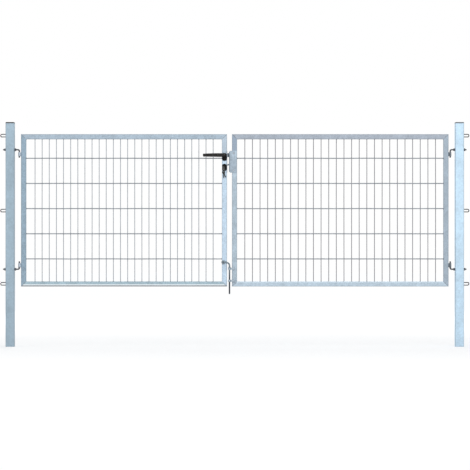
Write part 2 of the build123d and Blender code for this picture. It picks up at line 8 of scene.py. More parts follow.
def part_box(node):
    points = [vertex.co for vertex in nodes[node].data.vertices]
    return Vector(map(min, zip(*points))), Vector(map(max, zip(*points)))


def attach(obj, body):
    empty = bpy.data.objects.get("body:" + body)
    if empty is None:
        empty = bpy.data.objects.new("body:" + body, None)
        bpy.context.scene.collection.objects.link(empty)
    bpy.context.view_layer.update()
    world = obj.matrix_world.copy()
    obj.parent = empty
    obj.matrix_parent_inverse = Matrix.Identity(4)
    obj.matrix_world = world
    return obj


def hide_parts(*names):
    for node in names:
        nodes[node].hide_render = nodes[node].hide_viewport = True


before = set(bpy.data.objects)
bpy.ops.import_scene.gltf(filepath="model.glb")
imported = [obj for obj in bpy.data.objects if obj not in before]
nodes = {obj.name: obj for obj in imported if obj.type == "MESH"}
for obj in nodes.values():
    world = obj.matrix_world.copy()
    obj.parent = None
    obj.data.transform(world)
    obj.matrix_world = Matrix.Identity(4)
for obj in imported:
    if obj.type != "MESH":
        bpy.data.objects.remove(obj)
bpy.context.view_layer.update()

print("frame loaded:", len(nodes), "nodes")


# Camera, light and floor

view = {
    "width": 3.737,  # metres across the picture at the gate
    "centre": (1.8203, 0.0, 0.887),
    "distance": 20.8,
    "sensor": 36.0,
}


def makeCamera():
    camData = bpy.data.cameras.new("gateCamera")
    camData.sensor_width = view["sensor"]
    camData.lens = view["sensor"] * view["distance"] / view["width"]
    camData.clip_end = 200
    cam = bpy.data.objects.new("gateCamera", camData)
    bpy.context.scene.collection.objects.link(cam)
    x, y, z = view["centre"]
    cam.location = (x, y - view["distance"], z)
    cam.rotation_euler = (math.radians(90), 0, 0)
    bpy.context.scene.camera = cam


softLamps = {
    "softFront": {"place": (3.2, -7.5, 5.2), "aim": (1.9, 0, 0.9), "size": (6, 5), "power": 150},
    "softLeft": {"place": (-4.5, -5.5, 3.4), "aim": (1.2, 0, 0.9), "size": (4, 4), "power": 55},
    "softBack": {"place": (2.0, 7.5, 5.0), "aim": (1.9, 0, 0.9), "size": (6, 4), "power": 140},
}


def areaLight(name, lampLook):
    lampData = bpy.data.lights.new(name, "AREA")
    lampData.shape = "RECTANGLE"
    lampData.size, lampData.size_y = lampLook["size"]
    lampData.energy = lampLook["power"]
    lamp = bpy.data.objects.new(name, lampData)
    bpy.context.scene.collection.objects.link(lamp)
    lamp.location = lampLook["place"]
    aim = Vector(lampLook["aim"]) - Vector(lampLook["place"])
    lamp.rotation_euler = aim.to_track_quat("-Z", "Y").to_euler()


# A node with its settings: each input gets a plain value, or the output that feeds it
def newNode(tree, kind, inputs=None, **settings):
    node = tree.nodes.new(kind)
    for key, value in settings.items():
        setattr(node, key, value)
    for key, value in (inputs or {}).items():
        if isinstance(value, bpy.types.NodeSocket):
            tree.links.new(value, node.inputs[key])
        else:
            node.inputs[key].default_value = value
    return node


def math2(tree, operation, a, b, clamp=False):
    return newNode(tree, "ShaderNodeMath", {0: a, 1: b}, operation=operation, use_clamp=clamp).outputs[0]


def remap(tree, value, low, high, outLow=0.0, outHigh=1.0):
    inputs = {"Value": value, "From Min": low, "From Max": high, "To Min": outLow, "To Max": outHigh}
    return newNode(tree, "ShaderNodeMapRange", inputs, clamp=True).outputs[0]


# 1 for the rays that see the white background, straight on, in metal or through glass
def seenDirectly(tree):
    rays = newNode(tree, "ShaderNodeLightPath")
    seen = math2(tree, "MAXIMUM", rays.outputs["Is Camera Ray"], rays.outputs["Is Glossy Ray"])
    return math2(tree, "MAXIMUM", seen, rays.outputs["Is Transmission Ray"])


worldLook = {
    "light": {"Color": (0.97, 0.985, 1.0, 1), "Strength": 0.66},  # what falls on the gate
    "backdrop": {"Color": (1, 1, 1, 1), "Strength": 1.0},
}


def makeWorld():
    world = bpy.data.worlds.new("paleStudio")
    bpy.context.scene.world = world
    world.use_nodes = True
    tree = world.node_tree
    tree.nodes.clear()
    light = newNode(tree, "ShaderNodeBackground", worldLook["light"]).outputs[0]
    backdrop = newNode(tree, "ShaderNodeBackground", worldLook["backdrop"]).outputs[0]
    mix = newNode(tree, "ShaderNodeMixShader", {0: seenDirectly(tree), 1: light, 2: backdrop})
    newNode(tree, "ShaderNodeOutputWorld", {0: mix.outputs[0]})


floorLook = {
    "reach": 40.0,
    "colour": (0.82, 0.82, 0.82, 1),
    "middle": (1.82, 0.0, 0.0),
    "lift": (0.30, 0.47),  # what makes the floor white beside the gate, where the lamps reach, and far off
    "liftFrom": (2.5, 8.0),
}


def makeFloor():
    look = floorLook
    mat = bpy.data.materials.new("paleFloor")
    mat.use_nodes = True
    tree = mat.node_tree
    tree.nodes.clear()
    matt = newNode(tree, "ShaderNodeBsdfDiffuse", {"Color": look["colour"]})
    spot = newNode(tree, "ShaderNodeTexCoord").outputs["Object"]
    away = newNode(tree, "ShaderNodeVectorMath", {0: spot, 1: look["middle"]}, operation="DISTANCE")
    lift = remap(tree, away.outputs["Value"], *look["liftFrom"], *look["lift"])
    glow = newNode(tree, "ShaderNodeEmission", {"Strength": math2(tree, "MULTIPLY", seenDirectly(tree), lift)})
    both = newNode(tree, "ShaderNodeAddShader", {0: matt.outputs[0], 1: glow.outputs[0]})
    newNode(tree, "ShaderNodeOutputMaterial", {0: both.outputs[0]})
    r = look["reach"]
    mesh = bpy.data.meshes.new("paleFloor")
    corners = [(-r, -r, 0), (r, -r, 0), (r, r, 0), (-r, r, 0)]
    mesh.from_pydata(corners, [], [(0, 1, 2, 3)])
    mesh.materials.append(mat)
    floor = bpy.data.objects.new("paleFloor", mesh)
    bpy.context.scene.collection.objects.link(floor)


makeCamera()
makeWorld()
for name, lampLook in softLamps.items():
    areaLight(name, lampLook)
makeFloor()
bpy.context.scene.view_settings.view_transform = "Standard"
print("camera, light and floor ready")


# Shader groups shared by the finishes

# Inputs with their defaults, whose form says what kind of socket each is, and the names of the outputs
def newGroup(name, inputs, outputs):
    tree = bpy.data.node_groups.new(name, "ShaderNodeTree")
    for label, value in inputs.items():
        kind = "Float" if isinstance(value, float) else "Color" if len(value) == 4 else "Vector"
        socket = tree.interface.new_socket(label, in_out="INPUT", socket_type="NodeSocket" + kind)
        socket.default_value = value
    for label in outputs:
        kind = "Color" if label == "Color" else "Float"
        tree.interface.new_socket(label, in_out="OUTPUT", socket_type="NodeSocket" + kind)
    return tree, newNode(tree, "NodeGroupInput").outputs, newNode(tree, "NodeGroupOutput").inputs


def noise(tree, vector, scale, detail, rough, distortion=0.0):
    inputs = {"Vector": vector, "Scale": scale, "Detail": detail, "Roughness": rough, "Distortion": distortion}
    return newNode(tree, "ShaderNodeTexNoise", inputs).outputs[0]


def mixColour(tree, factor, a, b):
    inputs = {0: factor, 6: a, 7: b}  # 6 and 7 are the node's colour sockets
    return newNode(tree, "ShaderNodeMix", inputs, data_type="RGBA").outputs[2]


zincPattern = {
    "cloudShare": 0.5,
    "patchShare": 0.42,
    "patchScale": 46.0,
    "patchRough": (0.36, 0.56),
    "patchHeight": 0.8,
    "spangleScale": 130.0,
    "spangleRough": 0.12,
    "speckScale": 420.0,
    "speckAmount": 0.35,
    "grainScale": 900.0,
    "grainHeight": 0.35,
}


# Hot-dip zinc: broad clouds, smaller patches, a faint crystal spangle, dark specks and an uneven height
def zincGroup():
    inputs = {"Vector": (0, 0, 0), "Light": (0.5, 0.57, 0.63, 1), "Dark": (0.3, 0.36, 0.42, 1),
              "Cloud Scale": 9.0, "Spangle": 0.35}
    tree, given, put = newGroup("zincBloom", inputs, ("Color", "Roughness", "Height"))
    w = zincPattern
    vector, dark = given["Vector"], given["Dark"]
    cloud = noise(tree, vector, given["Cloud Scale"], 5.0, 0.62, 0.4)
    patch = noise(tree, vector, w["patchScale"], 4.0, 0.6, 0.8)
    cells = newNode(tree, "ShaderNodeTexVoronoi", {"Vector": vector, "Scale": w["spangleScale"]})
    grey = newNode(tree, "ShaderNodeSeparateColor", {0: cells.outputs["Color"]})
    spangle = math2(tree, "MULTIPLY", grey.outputs[0], given["Spangle"])
    clouds = math2(tree, "MULTIPLY", remap(tree, cloud, 0.3, 0.7), w["cloudShare"])
    patches = math2(tree, "MULTIPLY", remap(tree, patch, 0.3, 0.72), w["patchShare"])
    blend = math2(tree, "ADD", math2(tree, "ADD", clouds, patches), spangle, clamp=True)
    colour = mixColour(tree, blend, dark, given["Light"])
    speck = remap(tree, noise(tree, vector, w["speckScale"], 2.0, 0.5), 0.66, 0.76)
    colour = mixColour(tree, math2(tree, "MULTIPLY", speck, w["speckAmount"]), colour, dark)
    rough = remap(tree, patch, 0.25, 0.75, *w["patchRough"])
    rough = math2(tree, "ADD", rough, math2(tree, "MULTIPLY", spangle, w["spangleRough"]))
    fine = math2(tree, "MULTIPLY", noise(tree, vector, w["grainScale"], 3.0, 0.6), w["grainHeight"])
    height = math2(tree, "ADD", math2(tree, "MULTIPLY", patch, w["patchHeight"]), fine)
    for label, value in (("Color", colour), ("Roughness", rough), ("Height", height)):
        tree.links.new(value, put[label])
    return tree


# Painted shade on a rounded corner, where it turns away from the three straight directions
def cornerGroup():
    tree, given, put = newGroup("cornerShade", {"Normal": (0, 0, 0), "Amount": 0.5}, ("Mask",))
    size = newNode(tree, "ShaderNodeVectorMath", {0: given["Normal"]}, operation="ABSOLUTE")
    parts = newNode(tree, "ShaderNodeSeparateXYZ", {0: size.outputs[0]})
    most = math2(tree, "MAXIMUM", parts.outputs[0], parts.outputs[1])
    most = math2(tree, "MAXIMUM", most, parts.outputs[2])
    mask = remap(tree, most, 0.8, 0.985, 1.0, 0.0)
    tree.links.new(math2(tree, "MULTIPLY", mask, given["Amount"]), put["Mask"])
    return tree


rimBreakScale = 260.0


# Rims, found where a small bevel would turn the surface and broken in patches: the metals paint a highlight there
# and the zinc paints shade there
def rimGroup():
    inputs = {"Vector": (0, 0, 0), "Bevel Normal": (0, 0, 0), "Surface Normal": (0, 0, 0), "Patchiness": 0.5}
    tree, given, put = newGroup("rimHighlightAndShade", inputs, ("Mask",))
    normals = {0: given["Bevel Normal"], 1: given["Surface Normal"]}
    match = newNode(tree, "ShaderNodeVectorMath", normals, operation="DOT_PRODUCT")
    edge = remap(tree, match.outputs["Value"], 0.86, 0.995, 1.0, 0.0)
    broken = remap(tree, noise(tree, given["Vector"], rimBreakScale, 4.0, 0.65), 0.38, 0.62)
    kept = math2(tree, "SUBTRACT", 1.0, math2(tree, "MULTIPLY", broken, given["Patchiness"]))
    tree.links.new(math2(tree, "MULTIPLY", edge, kept), put["Mask"])
    return tree


grainPattern = {"broadScale": 38.0, "grainShare": 0.45, "broadShare": 0.55}


# Fine grain for cast, moulded and powder-coated surfaces
def grainGroup():
    w = grainPattern
    inputs = {"Vector": (0, 0, 0), "Scale": 700.0, "Stretch": (1, 1, 1)}
    tree, given, put = newGroup("fineGrain", inputs, ("Value", "Height"))
    drawn = {0: given["Vector"], 1: given["Stretch"]}
    pull = newNode(tree, "ShaderNodeVectorMath", drawn, operation="MULTIPLY")
    grain = noise(tree, pull.outputs[0], given["Scale"], 4.0, 0.6)
    broad = math2(tree, "MULTIPLY", noise(tree, given["Vector"], w["broadScale"], 3.0, 0.55), w["broadShare"])
    value = math2(tree, "ADD", math2(tree, "MULTIPLY", grain, w["grainShare"]), broad)
    tree.links.new(value, put["Value"])
    tree.links.new(grain, put["Height"])
    return tree


zincBloom = zincGroup()
cornerShade = cornerGroup()
rimHighlightAndShade = rimGroup()
fineGrain = grainGroup()
print("shader groups built")


# Finishes

def startMaterial(name, metallic):
    mat = bpy.data.materials.new(name)
    mat.use_nodes = True
    tree = mat.node_tree
    shader = tree.nodes["Principled BSDF"]
    shader.inputs["Metallic"].default_value = metallic
    return mat, tree, shader, newNode(tree, "ShaderNodeTexCoord").outputs


def placeGroup(tree, group, **values):
    inputs = {label.replace("_", " "): value for label, value in values.items()}
    return newNode(tree, "ShaderNodeGroup", inputs, node_tree=group)


def addBump(tree, shader, height, strength, distance):
    bump = newNode(tree, "ShaderNodeBump", {"Height": height, "Strength": strength, "Distance": distance})
    tree.links.new(bump.outputs[0], shader.inputs["Normal"])


zincLook = {
    "light": 1.2,  # how far the clouds go above and below the finish's own tone
    "dark": 0.74,
    "metallic": 0.82,
    "bump": 0.16,
    "bumpDistance": 0.0006,
    # the colour of the painted shade on rounded corners
    "cornerShadeColour": (0.17, 0.20, 0.24, 1),
    # the colour of the painted shade along the edges
    "edgeShadeColour": (0.22, 0.25, 0.29, 1),
    "edgeWidth": 0.007,
    "edgePatchiness": 0.3,
}


# A mask from 1 to 0 along one of the object's own directions
def fadeAlong(tree, coords, axis, start, end):
    parts = newNode(tree, "ShaderNodeSeparateXYZ", {0: coords["Object"]})
    return remap(tree, parts.outputs["XYZ".index(axis)], start, end, 1.0, 0.0)


# The rim mask: the metals paint a highlight on it, the zinc paints shade on it
def rimMask(tree, coords, radius, patchiness):
    bevel = newNode(tree, "ShaderNodeBevel", {"Radius": radius}, samples=4)
    surface = newNode(tree, "ShaderNodeNewGeometry")
    return placeGroup(tree, rimHighlightAndShade, Vector=coords["Object"], Bevel_Normal=bevel.outputs[0],
                      Surface_Normal=surface.outputs["Normal"], Patchiness=patchiness).outputs["Mask"]


# Bands that cross a piece: painted highlights, painted shade, grease and painted shade at the stiles' top ends
def paintBands(tree, coords, colour, bands):
    for band in (marks[name] for name in bands):
        fade = fadeAlong(tree, coords, band["axis"], band["start"], band["end"])
        mask = math2(tree, "MULTIPLY", fade, band["amount"])
        colour = mixColour(tree, mask, colour, band["colour"] + (1,))
    return colour


# One zinc finish per tone: the dip leaves each tube a little lighter or darker than the next, and the posts' tones
# also paint light from the right: the right post is painted lit, the left one painted in shade
def zincMaterial(name, tone, cloudScale=12.0, spangle=0.3, corner=0.55, edge=0.0, bands=()):
    mat, tree, shader, coords = startMaterial(name, zincLook["metallic"])
    light = tuple(zincLook["light"] * c for c in tone) + (1,)
    dark = tuple(zincLook["dark"] * c for c in tone) + (1,)
    bloom = placeGroup(tree, zincBloom, Vector=coords["Object"], Light=light, Dark=dark,
                       Cloud_Scale=cloudScale, Spangle=spangle)
    # painted shade on the rounded corners of the tubes, by the given amount
    turned = placeGroup(tree, cornerShade, Normal=coords["Normal"], Amount=corner)
    colour = mixColour(tree, turned.outputs["Mask"], bloom.outputs["Color"], zincLook["cornerShadeColour"])
    # painted shade along the zinc's edges, a few millimetres wide
    if edge:
        rims = rimMask(tree, coords, zincLook["edgeWidth"], zincLook["edgePatchiness"])
        mask = math2(tree, "MULTIPLY", rims, edge)
        colour = mixColour(tree, mask, colour, zincLook["edgeShadeColour"])
    tree.links.new(paintBands(tree, coords, colour, bands), shader.inputs["Base Color"])
    tree.links.new(bloom.outputs["Roughness"], shader.inputs["Roughness"])
    addBump(tree, shader, bloom.outputs["Height"], zincLook["bump"], zincLook["bumpDistance"])
    return mat


metalBumpDistance = 0.0003


# Plain metals: two tones, a grain that may be drawn out one way, and rims painted brighter as a highlight
def metalMaterial(name, light, dark, rough, scale, stretch=(1, 1, 1), rim=None, bump=0.12, metallic=1.0,
                  specular=0.5, bands=()):
    mat, tree, shader, coords = startMaterial(name, metallic)
    shader.inputs["Specular IOR Level"].default_value = specular
    grain = placeGroup(tree, fineGrain, Vector=coords["Object"], Scale=scale, Stretch=stretch)
    amount = remap(tree, grain.outputs["Value"], 0.35, 0.65)
    colour = mixColour(tree, amount, dark + (1,), light + (1,))
    # a painted highlight on the rims
    if rim:
        mask = rimMask(tree, coords, rim["radius"], rim["patchiness"])
        colour = mixColour(tree, mask, colour, rim["colour"] + (1,))
    tree.links.new(paintBands(tree, coords, colour, bands), shader.inputs["Base Color"])
    tree.links.new(remap(tree, grain.outputs["Value"], 0.3, 0.7, rough[1], rough[0]), shader.inputs["Roughness"])
    addBump(tree, shader, grain.outputs["Height"], bump, metalBumpDistance)
    return mat


# The marks: the amount is full up to start and gone at end, in metres along the axis
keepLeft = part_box("keep_plate")[0][0]
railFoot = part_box("left_leaf_bottom_rail")[0][2]
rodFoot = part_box("drop_bolt")[0][2]
marks = {
    # painted shade along the keep's folded left edge
    "keepFoldShade": {"axis": "X", "start": keepLeft + 0.003, "end": keepLeft + 0.009, "amount": 0.6,
                 "colour": (0.13, 0.16, 0.19)},
    # painted highlight on the rounded lower edge of the left bottom rail
    "railLowHighlight": {"axis": "Z", "start": railFoot + 0.016, "end": railFoot + 0.02, "amount": 0.7,
                 "colour": (0.84, 0.88, 0.9)},
    # painted shade on the underside of the left bottom rail
    "railUnderShade": {"axis": "Z", "start": railFoot + 0.007, "end": railFoot + 0.01, "amount": 0.8,
                  "colour": (0.12, 0.115, 0.13)},
    # painted highlight along the top of the right bottom rail
    "railTopHighlight": {"axis": "Z", "start": railFoot + 0.036, "end": railFoot + 0.03, "amount": 0.5,
                  "colour": (0.72, 0.83, 0.92)},
    # painted shade towards the top of the lock stile and of the meeting stile
    "lockStileTop": {"axis": "Z", "start": 1.54, "end": 1.48, "amount": 0.6, "colour": (0.375, 0.43, 0.484)},
    "meetingStileTop": {"axis": "Z", "start": 1.56, "end": 1.5, "amount": 0.8, "colour": (0.265, 0.324, 0.409)},
    "rodGrease": {"axis": "Z", "start": rodFoot + 0.13, "end": rodFoot + 0.2, "amount": 0.8,
                  "colour": (0.02, 0.022, 0.025)},
}

zincTones = {
    # the posts: the right one's lighter tone is painted light from the right, the left one's darker tone is painted
    # shade
    "postLeft": {"tone": (0.345, 0.445, 0.52), "cloudScale": 5.0, "spangle": 0.22, "edge": 0.4},
    "postRight": {"tone": (0.53, 0.69, 0.82), "cloudScale": 5.0, "spangle": 0.18, "edge": 0.75},
    "hingeStileLeft": {"tone": (0.265, 0.355, 0.43), "spangle": 0.6, "edge": 0.3},
    "lockStile": {"tone": (0.50, 0.62, 0.735), "spangle": 0.3, "edge": 0.5, "bands": ("lockStileTop",)},
    "topRailLeft": {"tone": (0.345, 0.42, 0.49), "spangle": 0.55, "edge": 0.4},
    "bottomRailLeft": {"tone": (0.35, 0.46, 0.52), "spangle": 0.4, "bands": ("railLowHighlight", "railUnderShade")},
    "meetingStile": {"tone": (0.385, 0.465, 0.53), "spangle": 0.35, "edge": 0.5, "bands": ("meetingStileTop",)},
    "hingeStileRight": {"tone": (0.345, 0.41, 0.475), "spangle": 0.3, "edge": 0.3},
    "topRailRight": {"tone": (0.335, 0.375, 0.43), "spangle": 0.45, "edge": 0.4},
    "bottomRailRight": {"tone": (0.46, 0.555, 0.635), "spangle": 0.3, "edge": 0.25, "bands": ("railTopHighlight",)},
    "hingeEyeLeft": {"tone": (0.56, 0.62, 0.69), "cloudScale": 24.0, "spangle": 0.3},
    "hingeEyeRight": {"tone": (0.20, 0.22, 0.24), "cloudScale": 24.0, "spangle": 0.3},
    "uprightWireLeft": {"tone": (0.36, 0.385, 0.42), "cloudScale": 30.0, "spangle": 0.2, "corner": 0.0},
    "uprightWireRight": {"tone": (0.24, 0.235, 0.255), "cloudScale": 30.0, "spangle": 0.2, "corner": 0.0},
    "levelWire": {"tone": (0.28, 0.305, 0.335), "cloudScale": 30.0, "spangle": 0.2, "corner": 0.0},
    "weld": {"tone": (0.2, 0.23, 0.265), "cloudScale": 60.0, "spangle": 0.25, "corner": 0.0},
    "keep": {"tone": (0.34, 0.41, 0.475), "cloudScale": 24.0, "spangle": 0.45, "corner": 0.3,
             "bands": ("keepFoldShade",)},
    "guide": {"tone": (0.39, 0.46, 0.52), "cloudScale": 24.0, "spangle": 0.3, "corner": 0.3},
}

# a painted highlight on the rims of the dark hardware and the drop bolt
greyRim = {"radius": 0.0008, "patchiness": 0.7, "colour": (0.3, 0.32, 0.35)}
metalTones = {
    "darkZincHardware": {"light": (0.13, 0.135, 0.15), "dark": (0.06, 0.062, 0.07), "rough": (0.36, 0.52),
                         "scale": 520.0, "rim": greyRim},
    "darkZincLoop": {"light": (0.034, 0.039, 0.048), "dark": (0.018, 0.021, 0.026), "rough": (0.45, 0.6),
                     "scale": 480.0},
    "dropBoltSteel": {"light": (0.21, 0.255, 0.285), "dark": (0.135, 0.165, 0.185), "rough": (0.32, 0.46),
                      "scale": 480.0, "stretch": (1, 1, 0.4), "rim": greyRim, "bands": ("rodGrease",)},
    "blackCapPlastic": {"light": (0.018, 0.02, 0.023), "dark": (0.01, 0.011, 0.013), "rough": (0.5, 0.62),
                        "scale": 900.0, "metallic": 0.0, "specular": 0.12},
    "greyCapPlastic": {"light": (0.15, 0.17, 0.19), "dark": (0.11, 0.125, 0.14), "rough": (0.5, 0.62),
                       "scale": 900.0, "metallic": 0.0, "specular": 0.3},
    "blackPowderCoat": {"light": (0.006, 0.006, 0.0065), "dark": (0.003, 0.003, 0.0035), "rough": (0.38, 0.5),
                        "scale": 620.0, "bump": 0.2, "metallic": 0.0, "specular": 0.12,
                        "rim": {"radius": 0.001, "patchiness": 0.9, "colour": (0.02, 0.019, 0.018)}},
    # the lever's coat: brownish patches at a coarse scale paint the lever's reflection
    "handledPowderCoat": {"light": (0.034, 0.031, 0.029), "dark": (0.008, 0.0078, 0.0078), "rough": (0.3, 0.46),
                          "scale": 60.0, "bump": 0.2, "metallic": 0.0, "specular": 0.18,
                          "rim": {"radius": 0.001, "patchiness": 0.9, "colour": (0.05, 0.046, 0.042)}},
    "brushedSteel": {"light": (0.48, 0.5, 0.53), "dark": (0.34, 0.36, 0.39), "rough": (0.24, 0.36),
                     "scale": 240.0, "stretch": (1, 1, 12),
                     "rim": {"radius": 0.0006, "patchiness": 0.4, "colour": (0.62, 0.63, 0.65)}},
    "boltSteel": {"light": (0.2, 0.225, 0.255), "dark": (0.12, 0.14, 0.16), "rough": (0.26, 0.4),
                  "scale": 240.0, "stretch": (12, 1, 1),
                  "rim": {"radius": 0.0006, "patchiness": 0.4, "colour": (0.42, 0.44, 0.47)}},
    "nickelPlate": {"light": (0.15, 0.148, 0.14), "dark": (0.08, 0.08, 0.076), "rough": (0.26, 0.4),
                    "scale": 400.0},
    "dullKeyMetal": {"light": (0.042, 0.043, 0.039), "dark": (0.018, 0.019, 0.018), "rough": (0.34, 0.48),
                     "scale": 320.0, "stretch": (1, 1, 6),
                     "rim": {"radius": 0.0005, "patchiness": 0.5, "colour": (0.1, 0.1, 0.092)}},
}

finishes = {name: zincMaterial("zinc" + name[0].upper() + name[1:], **look) for name, look in zincTones.items()}
finishes.update({name: metalMaterial(name, **look) for name, look in metalTones.items()})
print("finishes made:", len(finishes))

finishNodes = {
    "postLeft": "left_post",
    "postRight": "right_post",
    "blackCapPlastic": "left_post_cap",
    "greyCapPlastic": "right_post_cap",
    "hingeStileLeft": "left_leaf_hinge_stile",
    "lockStile": "left_leaf_lock_stile",
    "topRailLeft": "left_leaf_top_rail",
    "bottomRailLeft": "left_leaf_bottom_rail",
    "hingeStileRight": "right_leaf_hinge_stile",
    "meetingStile": "right_leaf_meeting_stile",
    "topRailRight": "right_leaf_top_rail",
    "bottomRailRight": "right_leaf_bottom_rail",
    "uprightWireLeft": "left_leaf_mesh",
    "uprightWireRight": "right_leaf_mesh",
    "darkZincLoop": "left_fence_eyes right_fence_eyes",
    "hingeEyeLeft": "left_leaf_upper_eye left_leaf_lower_eye",
    "hingeEyeRight": "right_leaf_upper_eye right_leaf_lower_eye",
    "darkZincHardware": "left_upper_pintle left_lower_pintle left_hinge_nuts "
                        "right_upper_pintle right_lower_pintle right_hinge_nuts",
    "brushedSteel": "lock_case lock_faceplate lever_spindle",
    "boltSteel": "latch_bolt hook_bolt key_ring",
    "handledPowderCoat": "front_lever back_lever",
    "blackPowderCoat": "front_lever_rose back_lever_rose front_cylinder_rose back_cylinder_rose",
    "nickelPlate": "lock_cylinder",
    "dullKeyMetal": "key spare_keys",
    "keep": "keep_plate",
    "guide": "drop_bolt_guides",
    "dropBoltSteel": "drop_bolt",
}
nodeFinish = {node: finish for finish, group in finishNodes.items() for node in group.split()}
for name, finish in nodeFinish.items():
    slots = nodes[name].data.materials
    slots.clear()
    slots.append(finishes[finish])
print("finishes on the packed nodes")


# Mesh tools shared by the pieces

# Smooth faces, parted where two of them meet at more than the angle
def newPiece(name, bm, finish, body, angle, replaced=()):
    bmesh.ops.recalc_face_normals(bm, faces=bm.faces)
    mesh = bpy.data.meshes.new(name)
    bm.to_mesh(mesh)
    bm.free()
    for each in [finish] if isinstance(finish, str) else finish:
        mesh.materials.append(finishes[each])
    mesh.shade_smooth()
    mesh.set_sharp_from_angle(angle=math.radians(angle))
    piece = bpy.data.objects.new(name, mesh)
    bpy.context.scene.collection.objects.link(piece)
    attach(piece, body)
    if replaced:
        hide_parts(*replaced)


# Faces between each ring of points and the next
def joinRings(bm, rings, index=0):
    for first, second in zip(rings, rings[1:]):
        for k in range(len(first)):
            n = (k + 1) % len(first)
            bm.faces.new((first[k], first[n], second[n], second[k])).material_index = index


# A bar of any section swept along a path: the section is a list of (side, up) offsets
def sweepSection(bm, path, section, scales=None, index=0, firstSide=None):
    path = [Vector(p) for p in path]
    side = firstSide and Vector(firstSide)
    rings = []
    for i, point in enumerate(path):
        along = (path[min(i + 1, len(path) - 1)] - path[max(i - 1, 0)]).normalized()
        if side is None:
            side = along.orthogonal()
        side = (side - along * side.dot(along)).normalized()
        up = along.cross(side)
        grow = scales[i] if scales else 1.0
        rings.append([bm.verts.new(point + (side * a + up * b) * grow) for a, b in section])
    joinRings(bm, rings, index)
    for ring in (rings[0][::-1], rings[-1]):
        bm.faces.new(ring).material_index = index


def roundSection(radius, sides):
    turns = [2 * math.pi * k / sides for k in range(sides)]
    return [(radius * math.cos(t), radius * math.sin(t)) for t in turns]


def roundSpot(radius, turn, height):
    return Vector((radius * math.cos(turn), radius * math.sin(turn), height))


# Straight runs joined by bends, for rod bent round a former
def bentPath(corners, bends, steps):
    corners = [Vector(c) for c in corners]
    path = [corners[0]]
    for i, bend in enumerate(bends, start=1):
        here = corners[i]
        back = (corners[i - 1] - here).normalized()
        ahead = (corners[i + 1] - here).normalized()
        half = back.angle(ahead) / 2
        reach = bend / math.tan(half)
        centre = here + (back + ahead).normalized() * (bend / math.sin(half))
        start = here + back * reach - centre
        end = here + ahead * reach - centre
        sweep = start.angle(end)
        for k in range(steps + 1):
            t = k / steps
            mixed = start * math.sin((1 - t) * sweep) + end * math.sin(t * sweep)
            path.append(centre + mixed / math.sin(sweep))
    path.append(corners[-1])
    return path


# A turned form: profile points are (radius, height) along the place's own z
def turned(bm, profile, place, segments, index=0):
    rings = []
    turns = [2 * math.pi * k / segments for k in range(segments)]
    for radius, height in profile:
        rings.append([bm.verts.new(place @ roundSpot(radius, t, height)) for t in turns])
    joinRings(bm, rings, index)


def collarProfile(inner, outer, height, ease):
    rim = [(outer - ease, 0), (outer, ease), (outer, height - ease), (outer - ease, height)]
    return [(inner, 0)] + rim + [(inner, height)]


def facing(origin, direction):
    turn = Vector(direction).to_track_quat("Z", "Y").to_matrix().to_4x4()
    return Matrix.Translation(origin) @ turn


weldLook = {
    "rippleStep": 0.42,  # as a share of the run's radius
    "wander": 0.05,
    "uneven": (0.94, 1.06),
    "collar": ((1.0, 0.0), (0.62, 0.45), (0.25, 0.85), (-0.1, 1.05)),  # height and spread, from the bar out
}


# A run of weld metal: overlapping ripples, a little uneven, sunk half into both pieces
def weldRun(bm, start, end, radius, chance):
    start, end = Vector(start), Vector(end)
    length = (end - start).length
    count = max(3, int(length / (radius * weldLook["rippleStep"])))
    path, scales = [], []
    for k in range(count + 1):
        t = k / count
        fade = min(1.0, 4.5 * min(t, 1 - t) + 0.45)
        ripple = 0.9 + 0.1 * math.cos(k * math.pi)
        wander = Vector([chance.uniform(-1, 1) for axis in range(3)]) * radius * weldLook["wander"]
        path.append(start.lerp(end, t) + wander)
        scales.append(fade * ripple * chance.uniform(*weldLook["uneven"]))
    sweepSection(bm, path, roundSection(radius, 8), scales)


# A ring of weld metal round a bar that meets a flat face
def weldCollar(bm, centre, direction, barRadius, size, chance, segments, index):
    place = facing(centre, direction)
    rings = []
    phase = chance.uniform(0, 6)
    for height, spread in weldLook["collar"]:
        ring = []
        for k in range(segments):
            turn = 2 * math.pi * k / segments
            lump = 1 + 0.12 * math.sin(3 * turn + phase) + 0.07 * math.cos(7 * turn + 2 * phase)
            radius = barRadius * 0.98 + size * spread * lump
            ring.append(bm.verts.new(place @ roundSpot(radius, turn, size * height * lump)))
        rings.append(ring)
    joinRings(bm, rings, index)


edgeBreak = {"sharp": 28, "flat": 0.4, "merge": 2e-6}  # edges from 28 degrees up are broken, flat ones dissolved
edgeWidth = {  # of the broken edges, in metres
    "left_leaf_upper_eye": 0.0007, "left_leaf_lower_eye": 0.0007,
    "right_leaf_upper_eye": 0.0007, "right_leaf_lower_eye": 0.0007,
    "lock_faceplate": 0.0005, "latch_bolt": 0.0006, "hook_bolt": 0.0005, "keep_plate": 0.0006,
    "lock_cylinder": 0.0003, "key": 0.0004, "spare_keys": 0.0004,
    "drop_bolt_guides": 0.0008, "left_post_cap": 0.0008, "right_post_cap": 0.0008,
}


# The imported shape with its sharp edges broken, as a new piece
def softened(name, node, body):
    bm = bmesh.new()
    bm.from_mesh(nodes[node].data)
    bmesh.ops.remove_doubles(bm, verts=bm.verts, dist=edgeBreak["merge"])
    bmesh.ops.dissolve_limit(bm, angle_limit=math.radians(edgeBreak["flat"]), verts=bm.verts, edges=bm.edges)
    sharp = math.radians(edgeBreak["sharp"])
    edges = [e for e in bm.edges if len(e.link_faces) == 2 and e.calc_face_angle(0) > sharp]
    bmesh.ops.bevel(bm, geom=edges, offset=edgeWidth[node], segments=2, profile=0.5, affect="EDGES",
                    clamp_overlap=True)
    bmesh.ops.triangulate(bm, faces=[f for f in bm.faces if len(f.verts) > 4])
    newPiece(name, bm, nodeFinish[node], body, angle=30, replaced=(node,))


